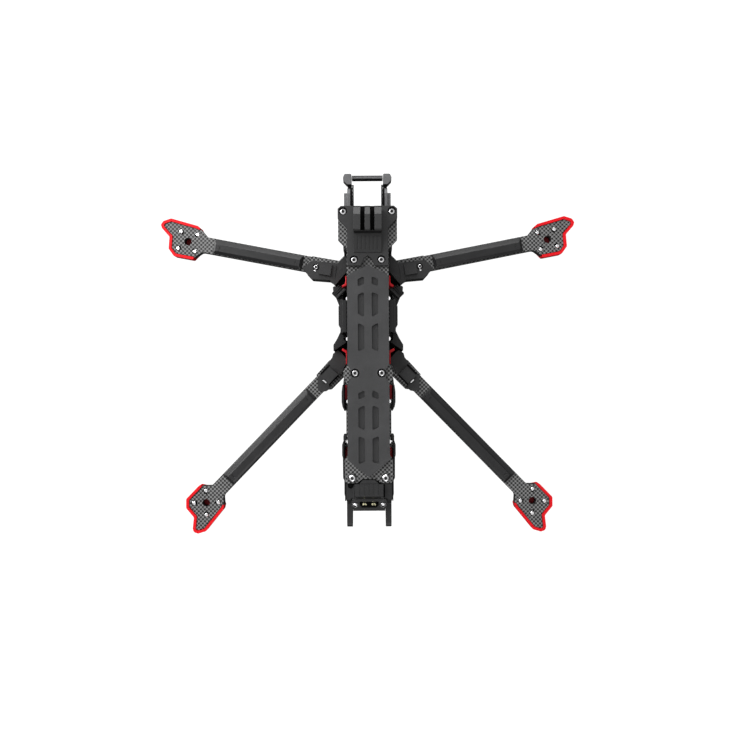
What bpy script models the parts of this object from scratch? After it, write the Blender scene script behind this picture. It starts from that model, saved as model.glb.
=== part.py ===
"""Bare frame of a seven inch FPV racing quadcopter, as separate solids.

The nose points along +Y, the right side along +X and up is +Z.  Shapes are drawn in
millimetres about the middle of the four motor axes, with the ground at z = 0, and hang
from one empty that puts the middle of the object's box on the origin.
"""
import math

import bmesh
import bpy
from mathutils import Matrix, Vector

MM = 0.001
GAP = 0.3

# Heights of the stack, bottom to top
PAD_BASE_TOP = 5.2
PAD_LIP_TOP = 12.0
BOTTOM_PLATE = (3.2, 5.2)
ARM = (5.5, 11.5)
MID_PLATE = (11.8, 13.8)
BAY = (MID_PLATE[1] + GAP, 37.6)
TOP_PLATE = (BAY[1] + GAP, 40.2)
CLAMP_TOP = 18.2
CLAMP_BLOCK_TOP = 20.4
BATTERY_PAD = (TOP_PLATE[1] + GAP, 42.9)
MOUNT_BASE_TOP = 43.1
MOUNT_TOP = 54.0

# Plan layout
BOX_MIDDLE_Y = 10.0
FRONT_MOTOR = (136.3, 99.1)
REAR_MOTOR = (123.7, -99.1)
FRONT_ARM_SLOPE = math.radians(10.9)
REAR_ARM_SLOPE = math.radians(45.85)
ARM_HALF_WIDTH = 5.9
FRONT_ROOT = 0.8
FRONT_ROOT_HALF_WIDTH = 8.6
REAR_ARM_LENGTH = 166.0
CORNERS = ("front_left", "front_right", "rear_left", "rear_right")
SCREW_PLACES = {
    "nose": (17.3, 113.3),
    "front": (9.7, 79.0),
    "middle": (9.5, -1.4),
    "tail": (11.9, -76.0),
}

# Fasteners and motor mount
BOLT_RADIUS = 1.35
HOLE_RADIUS = 1.7
STANDOFF_RADIUS = 2.5
HEAD_RADIUS = 2.75
HEAD_HEIGHT = 1.65
SCREW_REACH = 8.3
MOTOR_HOLE_RADIUS = 2.85
SLOT_CENTRE = 8.75
SLOT_REACH = 0.75
BORE_CENTRE = 9.2
BORE_RADIUS = 3.2
LIP_WIDTH = 2.1
STACK_PITCH = 30.5
STACK_CENTRES = (39.7, -38.2)
STACK_HOLE_RADIUS = 1.7

# Panel connector on the slanted tail face
TAIL_SLANT = math.radians(42.0)
CONNECTOR_CENTRE = (0.0, -96.1, 34.2)
CONTACT_X = 3.6
CONNECTOR_SCREW_X = 10.0

# Outer outline of a motor end: u runs outward along the arm, v towards its horn
MOTOR_END = (
    (-8.3, -9.6), (-6.2, -12.9), (8.3, -12.9), (13.3, -8.1), (14.3, 1.0), (21.0, 6.2),
    (22.4, 8.7), (21.0, 11.8), (15.6, 14.8), (-5.4, 12.9), (-8.2, 11.3),
)
SOLE_TAIL = (-9.8, 7.6)
SOLE_TAPER = 2.4
LIP_ENDS = (-6.6, -7.8)

MATERIALS = {
    "carbon": ((0.10, 0.10, 0.105), 0.42, 0.0),
    "black_nylon": ((0.022, 0.022, 0.023), 0.55, 0.0),
    "black_tpu": ((0.040, 0.040, 0.041), 0.70, 0.0),
    "red_tpu": ((0.72, 0.020, 0.030), 0.50, 0.0),
    "grey_silicone": ((0.072, 0.072, 0.073), 0.80, 0.0),
    "grey_aluminium": ((0.13, 0.13, 0.135), 0.45, 0.8),
    "black_aluminium": ((0.030, 0.030, 0.032), 0.35, 0.8),
    "steel": ((0.60, 0.60, 0.61), 0.28, 1.0),
    "brass": ((0.83, 0.62, 0.24), 0.25, 1.0),
}


def clear_scene():
    for item in list(bpy.data.objects):
        bpy.data.objects.remove(item, do_unlink=True)


def make_materials():
    made = {}
    for name, (colour, roughness, metallic) in MATERIALS.items():
        made[name] = bpy.data.materials.new(name)
        made[name].use_nodes = True
        shader = made[name].node_tree.nodes["Principled BSDF"]
        shader.inputs["Base Color"].default_value = (*colour, 1.0)
        shader.inputs["Roughness"].default_value = roughness
        shader.inputs["Metallic"].default_value = metallic
    return made


# ---------------------------------------------------------------- outlines

def circle(x, y, radius, count=12, turn=0.0):
    angles = [turn + 2 * math.pi * step / count for step in range(count)]
    return [(x + radius * math.cos(a), y + radius * math.sin(a)) for a in angles]


def slot(x, y, angle, reach, radius, count=4):
    """Round-ended slot whose long axis points along angle."""
    points = []
    for end in (0, 1):
        start = angle + math.pi * end - math.pi / 2
        shift = reach * (1 - 2 * end)
        for step in range(count + 1):
            a = start + math.pi * step / count
            px = x + shift * math.cos(angle) + radius * math.cos(a)
            py = y + shift * math.sin(angle) + radius * math.sin(a)
            points.append((px, py))
    return points


def box_outline(x0, y0, x1, y1):
    return [(x0, y0), (x1, y0), (x1, y1), (x0, y1)]


def mirrored(points):
    return [(-x, y) for x, y in reversed(points)]


def anticlockwise(points):
    area = sum(a[0] * b[1] - b[0] * a[1] for a, b in zip(points, points[1:] + points[:1]))
    return points if area > 0 else points[::-1]


def on_side(points, side):
    outline = anticlockwise(list(points))
    return outline if side == "right" else mirrored(outline)


def symmetric(right_half):
    """Close an outline from its right half, listed from the tail to the nose."""
    return list(right_half) + mirrored(right_half)


def inset(points, distance):
    """Shift every edge of an anticlockwise outline inward by distance."""
    corners = [Vector(p) for p in points]
    moved = []
    for index, corner in enumerate(corners):
        before = (corner - corners[index - 1]).normalized()
        after = (corners[(index + 1) % len(corners)] - corner).normalized()
        normal_a = Vector((-before.y, before.x))
        normal_b = Vector((-after.y, after.x))
        middle = (normal_a + normal_b) / (1 + normal_a.dot(normal_b))
        moved.append(tuple(corner + middle * distance))
    return moved


def rounded(points, radius, count=2):
    """Replace each corner by an arc of about the given radius."""
    corners = [Vector(p) for p in points]
    result = []
    for index, corner in enumerate(corners):
        to_last = corners[index - 1] - corner
        to_next = corners[(index + 1) % len(corners)] - corner
        half = to_last.angle(to_next) / 2
        reach = min(radius / math.tan(half), 0.45 * to_last.length, 0.45 * to_next.length)
        start = corner + to_last.normalized() * reach
        end = corner + to_next.normalized() * reach
        for step in range(count + 1):
            t = step / count
            point = start * (1 - t) ** 2 + corner * 2 * t * (1 - t) + end * t ** 2
            result.append(tuple(point))
    return result


# ------------------------------------------------------------------ solids

class Builder:
    """Makes named objects under one empty, in millimetres."""

    def __init__(self):
        self.materials = make_materials()
        self.root = bpy.data.objects.new("frame_middle", None)
        self.root.location = (0.0, -BOX_MIDDLE_Y * MM, 0.0)
        bpy.context.scene.collection.objects.link(self.root)

    def add(self, name, mesh, material=None, helper=False):
        """Finish a bmesh as an object; a helper only cuts or joins another one."""
        bmesh.ops.recalc_face_normals(mesh, faces=mesh.faces)
        if mesh.calc_volume(signed=True) < 0:
            bmesh.ops.reverse_faces(mesh, faces=mesh.faces)
        data = bpy.data.meshes.new(name)
        mesh.to_mesh(data)
        mesh.free()
        data.transform(Matrix.Scale(MM, 4))
        item = bpy.data.objects.new(name, data)
        bpy.context.scene.collection.objects.link(item)
        item.parent = self.root
        if material:
            data.materials.append(self.materials[material])
        if helper:
            item.hide_render = True
            item.display_type = "WIRE"
        else:
            data.shade_smooth()
            data.set_sharp_from_angle(angle=math.radians(30))
        return item

    def helper(self, name, mesh):
        return self.add(name, mesh, helper=True)


def combine(item, other, operation="DIFFERENCE"):
    modifier = item.modifiers.new(other.name, "BOOLEAN")
    modifier.operation = operation
    modifier.solver = "EXACT"
    modifier.object = other


def prism(outline, low, high, holes=()):
    """Upright solid with a flat outline and straight holes."""
    mesh = bmesh.new()
    edges = []
    for loop in (outline, *holes):
        corners = [mesh.verts.new((x, y, low)) for x, y in loop]
        for first, second in zip(corners, corners[1:] + corners[:1]):
            edges.append(mesh.edges.new((first, second)))
    bmesh.ops.triangle_fill(mesh, use_beauty=True, edges=edges)
    bmesh.ops.dissolve_degenerate(mesh, dist=1e-6, edges=mesh.edges)
    raised = bmesh.ops.extrude_face_region(mesh, geom=mesh.faces[:])["geom"]
    top = [part for part in raised if isinstance(part, bmesh.types.BMVert)]
    bmesh.ops.translate(mesh, verts=top, vec=(0, 0, high - low))
    return mesh


def sideways(mesh):
    """Turn a prism drawn in (y, z) and thick along z so that it is thick along X."""
    turn = Matrix(((0, 0, 1, 0), (1, 0, 0, 0), (0, 1, 0, 0), (0, 0, 0, 1)))
    mesh.transform(turn)
    return mesh


def rings(levels):
    """Solid through matching outlines, each given with its height."""
    mesh = bmesh.new()
    loops = []
    for outline, height in levels:
        loops.append([mesh.verts.new((x, y, height)) for x, y in outline])
    for lower, upper in zip(loops, loops[1:]):
        for index in range(len(lower)):
            last = index - 1
            mesh.faces.new((lower[last], lower[index], upper[index], upper[last]))
    mesh.faces.new(loops[0])
    mesh.faces.new(loops[-1])
    return mesh


def turned(profile, count=12):
    """Round solid from (radius, height) pairs listed from its bottom to its top."""
    return rings([(circle(0, 0, radius, count), height) for radius, height in profile])


def place(mesh, x, y, z=0.0):
    bmesh.ops.translate(mesh, verts=mesh.verts, vec=(x, y, z))
    return mesh


# -------------------------------------------------------------------- arms

def arm_frame(corner):
    """Matrix from an arm's own (u, v) to the plan of the object."""
    front = corner.startswith("front")
    side = -1 if corner.endswith("left") else 1
    motor = FRONT_MOTOR if front else REAR_MOTOR
    slope = FRONT_ARM_SLOPE if front else -REAR_ARM_SLOPE
    along = Vector((side * math.cos(slope), math.sin(slope)))
    horn_way = 1 if front else -1
    across = Vector((-side * math.sin(slope), math.cos(slope))) * horn_way
    return along, across, Vector((side * motor[0], motor[1]))


def in_plan(corner, points):
    """Arm coordinates to plan coordinates, always listed anticlockwise."""
    along, across, motor = arm_frame(corner)
    plan = [tuple(motor + along * u + across * v) for u, v in points]
    flipped = along.x * across.y - along.y * across.x < 0
    return plan[::-1] if flipped else plan


def root_distance(x):
    """Distance inward from a front motor to the plane at this half width."""
    return (FRONT_MOTOR[0] - x) / math.cos(FRONT_ARM_SLOPE)


def arm_outline(front):
    half = ARM_HALF_WIDTH
    carbon = inset(MOTOR_END, LIP_WIDTH + GAP)
    end = [(-13.0, -half), (-11.4, -6.4), (-8.2, -9.6), (-6.9, -11.2), (-6.9, carbon[1][1])]
    end += carbon[1:-1]
    end += [(-8.1, carbon[-1][1]), (-8.1, 10.8)]
    end += [(-13.9, half)] if front else [(-12.0, 6.5), (-13.4, half)]
    if front:
        root = root_distance(FRONT_ROOT)
        wide = FRONT_ROOT_HALF_WIDTH
        lean = math.tan(FRONT_ARM_SLOPE)
        tail = [(-root_distance(24), half), (-root_distance(20), wide)]
        tail += [(-root + lean * wide, wide), (-root - lean * wide, -wide)]
        tail += [(-root_distance(20), -wide), (-root_distance(24), -half)]
    else:
        tail = [(-REAR_ARM_LENGTH, half), (-REAR_ARM_LENGTH, -half)]
    return end + tail


def quarter_angles():
    return [math.pi / 4 + step * math.pi / 2 for step in range(4)]


def motor_slots():
    slots = []
    for angle in quarter_angles():
        x = SLOT_CENTRE * math.cos(angle)
        y = SLOT_CENTRE * math.sin(angle)
        slots.append(slot(x, y, angle, SLOT_REACH, HOLE_RADIUS - 0.1, 3))
    return slots


def root_bolts(front):
    """Distances from the motor of the two bolts through an arm's root."""
    if front:
        return (root_distance(13.0), root_distance(38.8))
    return (REAR_ARM_LENGTH - 9.0, REAR_ARM_LENGTH - 40.0)


def build_arms(make):
    for corner in CORNERS:
        front = corner.startswith("front")
        holes = [circle(0, 0, MOTOR_HOLE_RADIUS, 16)] + motor_slots()
        holes += [circle(-u, 0, HOLE_RADIUS, 8) for u in root_bolts(front)]
        plan_holes = [in_plan(corner, hole) for hole in holes]
        outline = in_plan(corner, arm_outline(front))
        make.add("arm_" + corner, prism(outline, *ARM, plan_holes), "carbon")


def build_foot_pads(make):
    """Bumper under a motor end: a tapered sole with a lip round the carbon."""
    sole = [(SOLE_TAIL[0], -SOLE_TAIL[1]), *MOTOR_END, SOLE_TAIL]
    wide = rounded(sole, 1.6)
    narrow = rounded(inset(sole, SOLE_TAPER), 1.6)
    inside = inset(MOTOR_END, LIP_WIDTH)
    pocket = [(-16.0, -16.0), (LIP_ENDS[0], -16.0), (LIP_ENDS[0], inside[1][1])] + inside[1:-1]
    pocket += [(LIP_ENDS[1], inside[-1][1]), (LIP_ENDS[1], 16.0), (-16.0, 16.0)]
    for corner in CORNERS:
        levels = ((narrow, 0.0), (wide, PAD_BASE_TOP), (wide, PAD_LIP_TOP))
        solid = rings([(in_plan(corner, outline), height) for outline, height in levels])
        pad = make.add("foot_pad_" + corner, solid, "red_tpu")
        cutter = prism(in_plan(corner, pocket), PAD_BASE_TOP, PAD_LIP_TOP + 2)
        combine(pad, make.helper("pocket_" + corner, cutter))
        for index, angle in enumerate(quarter_angles()):
            x, y = BORE_CENTRE * math.cos(angle), BORE_CENTRE * math.sin(angle)
            bore = prism(in_plan(corner, circle(x, y, BORE_RADIUS, 10)), -1.0, PAD_BASE_TOP + 1)
            combine(pad, make.helper(f"pad_bore_{corner}_{index}", bore))


# Wire cover: its two ends along each arm, then both edges, end slant and height of each level
COVER_ENDS = {"front": (-88.5, -20.0), "rear": (-115.3, -24.3)}
COVER_LEVELS = {
    "front": ((-5.5, 5.5, 0.0, 0.0), (-5.5, 5.5, 0.0, 0.7), (-3.7, 0.5, 1.9, 2.6)),
    "rear": ((-5.5, 5.5, 0.0, 0.0), (-5.5, 5.5, 0.0, 0.7), (-1.7, 3.7, 1.9, 2.6)),
}


def build_arm_covers(make):
    """Ridged strip along an arm that hides the motor wires."""
    for corner in CORNERS:
        pair = corner.split("_")[0]
        start, end = COVER_ENDS[pair]
        levels = []
        for near, far, slant, height in COVER_LEVELS[pair]:
            outline = box_outline(start + slant, near, end - slant, far)
            levels.append((in_plan(corner, outline), ARM[1] + GAP + height))
        make.add("arm_cover_" + corner, rings(levels), "black_nylon")


# Right-hand outlines of the moulded clamps over the arm roots
FRONT_CLAMP = (
    (15.9, 74.4), (24.6, 64.2), (26.3, 65.8), (28.6, 68.1), (42.0, 69.2), (49.0, 76.9),
    (42.2, 82.8), (22.4, 80.6), (17.4, 85.6), (15.9, 85.6),
)
REAR_CLAMP = (
    (18.6, 1.0), (29.8, -10.2), (28.8, -12.6), (31.4, -14.8), (33.7, -15.2), (37.9, -14.4),
    (37.9, -4.5), (27.1, 10.3), (26.4, 13.2), (22.9, 15.6), (20.6, 14.2), (16.4, 9.2), (16.4, 5.4), (18.6, 2.6),
)
FRONT_BLOCK = ((28.0, 71.1), (36.8, 72.7), (35.6, 81.1), (26.7, 79.5))
REAR_BLOCK = ((35.4, -3.8), (28.7, 3.2), (22.6, -2.4), (29.4, -9.3))
FRONT_SKIRT = (
    (25.2, 66.0), (28.6, 68.1), (42.0, 69.2), (45.8, 73.3), (44.5, 74.6), (41.2, 71.0),
    (28.2, 69.9), (24.2, 67.4),
)


def build_clamps(make):
    """Moulded cap over each arm root, with a raised block; the front ones have a skirt."""
    for corner in CORNERS:
        place_name, side = corner.split("_")
        front = place_name == "front"
        base = on_side(FRONT_CLAMP if front else REAR_CLAMP, side)
        block = on_side(FRONT_BLOCK if front else REAR_BLOCK, side)
        low = MID_PLATE[1] + GAP
        item = make.add("arm_clamp_" + corner, prism(base, low, CLAMP_TOP), "black_nylon")
        raised = prism(block, CLAMP_TOP - 1.0, CLAMP_BLOCK_TOP)
        combine(item, make.helper("clamp_block_" + corner, raised), "UNION")
        if front:
            beside = prism(on_side(FRONT_SKIRT, side), ARM[0], low + 1.0)
            combine(item, make.helper("clamp_skirt_" + corner, beside), "UNION")


# ------------------------------------------------------------------ plates

MID_RIGHT = (
    (16.8, -96.0), (16.8, -80.0), (18.2, -78.0), (18.4, -64.8), (18.5, -55.0), (17.0, -53.5),
    (17.0, -30.4), (18.6, -24.9), (18.7, -14.9), (19.2, -10.2), (18.8, -6.2), (18.4, -4.3), (27.7, -13.6),
    (29.8, -13.9), (35.8, -12.6), (39.4, -2.6), (29.6, 8.2), (25.6, 9.8), (25.4, 15.6),
    (19.0, 26.0), (19.0, 52.0), (24.8, 61.0), (25.0, 63.5), (23.6, 66.2), (23.6, 68.0),
    (27.8, 70.4), (40.9, 71.5),
    (44.4, 75.2), (46.6, 82.4), (41.8, 87.0), (21.6, 83.4), (17.9, 87.1), (17.9, 94.2),
    (19.8, 96.7), (19.8, 117.0), (14.5, 120.5), (14.5, 140.6), (10.3, 140.6), (10.3, 117.0),
)
BOTTOM_RIGHT = (
    (12.6, -22.0), (15.0, -18.0), (15.0, 3.0), (29.0, -10.8), (35.0, -11.2), (38.2, -2.8),
    (28.8, 7.4), (16.0, 21.0), (15.0, 24.0), (15.0, 58.0), (24.0, 63.0), (27.6, 71.4), (40.6, 72.5),
    (43.8, 76.2), (45.6, 82.0), (41.4, 85.8), (21.6, 82.4), (15.0, 88.4), (12.6, 94.0),
)
TOP_RIGHT = (
    (8.5, -79.8), (15.6, -79.8), (17.2, -78.2), (17.2, -63.4), (15.1, -59.8), (15.0, -9.3),
    (17.7, -4.3), (17.7, 0.0), (14.9, 4.6), (14.9, 87.0), (21.0, 93.3), (21.0, 115.3),
    (18.9, 117.1),
)
TOP_NOTCH = ((4.6, -76.9), (-4.6, -76.9))


def standoff_holes(names):
    holes = []
    for name in names:
        x, y = SCREW_PLACES[name]
        holes.append(circle(x, y, HOLE_RADIUS))
        holes.append(circle(-x, y, HOLE_RADIUS))
    return holes


def arm_bolt_holes():
    holes = []
    for corner in CORNERS:
        for distance in root_bolts(corner.startswith("front")):
            holes.append(in_plan(corner, circle(-distance, 0, HOLE_RADIUS, 8)))
    return holes


def stack_holes():
    """Holes of the two flight stack positions, four on a square each."""
    half = STACK_PITCH / 2
    return [circle(x, centre + y, STACK_HOLE_RADIUS, 10)
            for centre in STACK_CENTRES for x in (-half, half) for y in (-half, half)]


def build_plates(make):
    bolts = arm_bolt_holes()
    bottom = prism(symmetric(BOTTOM_RIGHT), *BOTTOM_PLATE, bolts)
    make.add("bottom_plate", bottom, "carbon")
    holes = bolts + standoff_holes(SCREW_PLACES) + stack_holes()
    middle = prism(symmetric(MID_RIGHT), *MID_PLATE, holes)
    make.add("mid_plate", middle, "carbon")
    outline = [*symmetric(TOP_RIGHT), TOP_NOTCH[1], TOP_NOTCH[0]]
    top = prism(outline, *TOP_PLATE, standoff_holes(SCREW_PLACES))
    make.add("top_plate", top, "carbon")


def button_screw():
    """Profile of a button head screw seated on the top plate."""
    seat = TOP_PLATE[1] + GAP
    head = ((1.0, 0.35), (0.8, 0.8), (0.4, 1.0))
    dome = [(HEAD_RADIUS * wide, seat + HEAD_HEIGHT * high) for wide, high in head]
    return [(BOLT_RADIUS, seat - SCREW_REACH), (BOLT_RADIUS, seat), (HEAD_RADIUS, seat)] + dome


def build_standoffs(make):
    """Round spacers between the mid and top plates, with their top screws."""
    for row, (x, y) in SCREW_PLACES.items():
        for side, sign in (("left", -1), ("right", 1)):
            tube = prism(circle(0, 0, STANDOFF_RADIUS), *BAY, [circle(0, 0, HOLE_RADIUS, 12)])
            place(tube, sign * x, y)
            make.add(f"standoff_{row}_{side}", tube, "black_aluminium")
            screw = place(turned(button_screw(), 10), sign * x, y)
            make.add(f"top_screw_{row}_{side}", screw, "steel")


# ------------------------------------------------------------- side panels

# Right-hand outlines in plan
SIDE_WALL = box_outline(17.9, 27.4, 19.9, 51.6)
SIDE_FLANGE = box_outline(15.4, 28.0, 18.3, 51.0)
SIDE_WING_FRONT = (
    (18.2, 50.0), (19.5, 47.0), (21.2, 48.0), (25.7, 59.2), (25.9, 62.2), (24.6, 62.9),
    (16.4, 59.6), (16.4, 58.6), (18.2, 57.0),
)
SIDE_WING_REAR = (
    (18.2, 30.6), (18.2, 23.4), (16.4, 22.0), (16.4, 21.2), (22.6, 17.0), (25.7, 15.0),
    (25.8, 19.4), (23.0, 24.0), (21.0, 28.2), (19.8, 30.6),
)
SIDE_BOX = ((18.4, 31.2), (20.2, 31.2), (21.4, 33.4), (21.4, 46.9), (20.6, 48.4), (18.4, 48.4))
MID_REAR_PANEL = (
    (17.5, -9.8), (17.5, -26.0), (16.6, -28.7), (17.3, -28.7), (18.8, -25.6), (19.4, -22.2),
    (19.4, -14.9), (18.7, -9.8),
)
REAR_PANEL = (
    (17.4, -93.5), (17.4, -90.0), (17.8, -88.5), (17.8, -78.6), (18.7, -76.9), (18.8, -62.2),
    (19.3, -60.5), (19.3, -52.9), (18.8, -51.4), (17.4, -51.4), (17.4, -53.6), (17.7, -55.0),
    (17.7, -61.8), (17.4, -62.6), (17.4, -77.6), (16.7, -79.8), (16.7, -93.5),
)
WING_TOP = 24.0
BOX_HEIGHTS = (18.0, 33.0)
GROMMET_TOP = 34.0
WIRE_GROMMET_FRONT = (
    (15.3, 62.0), (17.9, 60.9), (19.0, 61.7), (16.4, 63.8), (16.2, 68.9), (15.3, 68.9),
)
WIRE_GROMMET_REAR = (
    (15.3, 5.0), (16.1, 5.0), (16.1, 13.2), (19.2, 15.1), (18.6, 16.6), (15.3, 14.9),
)


def build_side_panels(make):
    low, high = BAY
    for side in ("left", "right"):
        wall = prism(on_side(SIDE_WALL, side), low, high - 1.0)
        wall = make.add("side_panel_" + side, wall, "black_nylon")
        parts = (
            ("panel_flange_", SIDE_FLANGE, high - 3.0, high - 0.4),
            ("panel_wing_front_", SIDE_WING_FRONT, low, WING_TOP),
            ("panel_wing_rear_", SIDE_WING_REAR, low, WING_TOP),
            ("panel_box_", SIDE_BOX, *BOX_HEIGHTS),
        )
        for prefix, outline, bottom, top in parts:
            extra = make.helper(prefix + side, prism(on_side(outline, side), bottom, top))
            combine(wall, extra, "UNION")
        middle = prism(on_side(MID_REAR_PANEL, side), low, high - 2.0)
        make.add("mid_side_panel_" + side, middle, "black_nylon")
        rear = prism(on_side(REAR_PANEL, side), low, high - 2.0)
        make.add("rear_side_panel_" + side, rear, "black_nylon")
        for row, outline in (("front", WIRE_GROMMET_FRONT), ("rear", WIRE_GROMMET_REAR)):
            grommet = prism(on_side(outline, side), low, GROMMET_TOP)
            make.add(f"wire_grommet_{row}_{side}", grommet, "red_tpu")


# -------------------------------------------------------------- top pieces

MOUNT_BASE_RIGHT = (
    (2.9, 79.6), (5.0, 74.7), (14.6, 74.7), (14.6, 101.1), (21.1, 108.2), (21.1, 115.0),
    (18.8, 117.0),
)
MOUNT_SIDE = (
    (84.0, 42.0), (112.6, 42.0), (114.4, 44.2), (115.0, 47.2), (114.2, 50.6), (112.0, 52.9),
    (108.8, MOUNT_TOP), (98.2, MOUNT_TOP), (97.2, 53.0), (96.6, 47.4), (84.0, MOUNT_BASE_TOP + 0.6),
)
MOUNT_SCREW_CLEARANCE = 3.0
FINGER_HALF_WIDTH = 9.8
FINGER_GAP = 3.05
FINGER_GAP_X = 3.375
FINGER_GAP_START = 97.4
FINGER_BORE = (107.4, 47.6, 2.6)


def build_camera_mount(make):
    """Action camera mount: a sole on the nose with three upright fingers."""
    bores = [circle(sign * SCREW_PLACES[row][0], SCREW_PLACES[row][1], MOUNT_SCREW_CLEARANCE)
             for row in ("nose", "front") for sign in (-1, 1)]
    outline = [*symmetric(MOUNT_BASE_RIGHT), (0.0, 81.9)]
    sole = prism(outline, BATTERY_PAD[0], MOUNT_BASE_TOP, bores)
    mount = make.add("camera_mount", sole, "black_tpu")
    body = sideways(prism(MOUNT_SIDE, -FINGER_HALF_WIDTH, FINGER_HALF_WIDTH))
    combine(mount, make.helper("mount_fingers", body), "UNION")
    for side, sign in (("left", -1), ("right", 1)):
        half = FINGER_GAP / 2
        gap = box_outline(-half, FINGER_GAP_START, half, 120.0)
        gap = place(prism(gap, MOUNT_BASE_TOP - 0.6, MOUNT_TOP + 1), sign * FINGER_GAP_X, 0)
        combine(mount, make.helper("finger_gap_" + side, gap))
    bore = sideways(prism(circle(*FINGER_BORE, 12), -12.0, 12.0))
    combine(mount, make.helper("finger_bore", bore))


PAD_RIGHT = (
    (14.9, -63.0), (14.9, -9.0), (12.6, -5.6), (12.6, 1.2), (14.8, 4.6), (14.8, 66.9), (12.6, 69.1),
)


def build_battery_pad(make):
    x, y = SCREW_PLACES["middle"]
    holes = [circle(x, y, 3.2), circle(-x, y, 3.2)]
    outline = [(0.0, -75.1), *PAD_RIGHT, (0.0, 75.1), *mirrored(PAD_RIGHT)]
    make.add("battery_pad", prism(outline, *BATTERY_PAD, holes), "grey_silicone")


# --------------------------------------------------------------- nose cage

CAGE_INNER = 11.4
CAGE_OUTER = 14.5
CAGE_BOSS = 16.8
PLATE_SIDE = (
    (97.0, BAY[0]), (126.5, BAY[0]), (132.3, 19.5), (132.3, 33.0), (127.5, BAY[1] - GAP),
    (97.0, BAY[1] - GAP),
)
BOSS_SIDE = (
    (118.7, 20.0), (127.4, 20.0), (128.8, 22.5), (128.8, 31.5), (128.0, 36.0), (118.7, 36.0),
)
PLATE_EYE = (106.0, 25.5, 5.0)
TILT_SLOT = (123.4, 25.5, 0.0, 2.4, 1.3)
KNOB_RIGHT = (
    (11.4, 134.6), (14.4, 134.6), (15.2, 135.2), (17.4, 137.6), (17.5, 139.8), (16.5, 142.0),
    (15.8, 142.3), (12.0, 142.3), (11.4, 141.7),
)
KNOB_HEIGHTS = (28.0, 35.0)
BAR_SIDE = (
    (138.5, 29.3), (139.0, 28.8), (140.9, 28.8), (141.4, 29.3), (141.4, 33.5), (140.9, 34.0),
    (139.0, 34.0), (138.5, 33.5),
)
BAR_HALF = CAGE_INNER - GAP


def build_nose_cage(make):
    """Two upright camera plates with bumper caps and a bar across the nose."""
    for side, sign in (("left", -1), ("right", 1)):
        inner, outer = sorted((sign * CAGE_INNER, sign * CAGE_OUTER))
        plate = sideways(prism(PLATE_SIDE, inner, outer, [circle(*PLATE_EYE, 16)]))
        plate = make.add("camera_plate_" + side, plate, "grey_aluminium")
        inner, outer = sorted((sign * (CAGE_OUTER - 0.8), sign * CAGE_BOSS))
        boss = sideways(prism(BOSS_SIDE, inner, outer))
        combine(plate, make.helper("camera_boss_" + side, boss), "UNION")
        inner, outer = sorted((sign * (CAGE_INNER - 1), sign * (CAGE_BOSS + 1)))
        tilt_slot = sideways(prism(slot(*TILT_SLOT), inner, outer))
        combine(plate, make.helper("tilt_slot_" + side, tilt_slot))
        knob = prism(on_side(KNOB_RIGHT, side), *KNOB_HEIGHTS)
        make.add("nose_bumper_" + side, knob, "black_nylon")
    bar = sideways(prism(BAR_SIDE, -BAR_HALF, BAR_HALF))
    make.add("nose_bar", bar, "grey_aluminium")


# -------------------------------------------------------------------- tail

HOUSING_HALF = 16.4
SLOPE_HALF = 11.7
WALL = 2.4
HOUSING_FRONT = -80.2
HOUSING_TOP = 38.2
FOOT_REAR = -102.3
SHOULDER_SIDE = (
    (-92.9, BAY[0]), (HOUSING_FRONT - 0.1, BAY[0]), (HOUSING_FRONT - 0.1, HOUSING_TOP - 0.2),
    (-91.9, HOUSING_TOP - 0.2), (-92.9, 36.9),
)
TAIL_SIDE = (
    (FOOT_REAR, BAY[0]), (HOUSING_FRONT, BAY[0]), (HOUSING_FRONT, HOUSING_TOP),
    (-88.2, HOUSING_TOP), (-98.9, 28.2), (FOOT_REAR, 27.6),
)
ROOM_SIDE = (
    (FOOT_REAR + WALL, BAY[0] - 1.0), (-78.0, BAY[0] - 1.0), (-78.0, 35.8), (-87.3, 35.8),
    (-97.6, 26.2), (FOOT_REAR + WALL, 25.4),
)
RIDGE_SIDE = (
    (-90.2, 36.4), (HOUSING_FRONT, 36.4), (HOUSING_FRONT, 42.2), (-88.9, 42.2), (-91.2, 38.5),
)
RIDGE_HALF = 10.2
TONGUE = ((4.3, -77.2), (-4.3, -77.2), (-8.1, HOUSING_FRONT - 1.0), (8.1, HOUSING_FRONT - 1.0))
TONGUE_TOP = 41.6
LUG_SIDE = (
    (-93.3, BAY[0]), (-99.6, BAY[0]), (-110.0, 19.6), (-113.2, 21.0), (-114.7, 24.2),
    (-113.2, 27.0), (-110.0, 28.2), (-97.0, 28.2), (-93.3, 31.6),
)
LUG_X = (12.1, 16.3)
LUG_BORE = (-110.0, 24.3, 2.1)
FLANGE = (25.6, 12.0, 2.0)
SOCKET = (15.6, 8.1, 14.0)
PIN_ROOM = (13.6, 6.2, 11.0)
CONTACT_PROFILE = ((1.75, -PIN_ROOM[2] + GAP), (1.75, -2.2), (1.2, -1.4))
SOCKET_SCREW_PROFILE = ((1.2, -2.2), (1.2, GAP), (2.4, GAP), (2.4, 0.9), (1.4, 1.7))


def on_slope(mesh, x=0.0):
    """Move a solid built about z = 0 to the slanted tail face, its +Z pointing out of it."""
    cx, cy, cz = CONNECTOR_CENTRE
    turn = Matrix.Rotation(TAIL_SLANT, 4, "X")
    mesh.transform(Matrix.Translation((cx + x, cy, cz)) @ turn)
    return mesh


def centred_box(width, height):
    return box_outline(-width / 2, -height / 2, width / 2, height / 2)


def socket_outline(width, height):
    """Rectangle with the two lower corners cut, as a keyed power socket has."""
    x, y, cut = width / 2, height / 2, 0.3 * height
    return [(-x + cut, -y), (x - cut, -y), (x, -y + cut), (x, y), (-x, y), (-x, -y + cut)]


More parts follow.
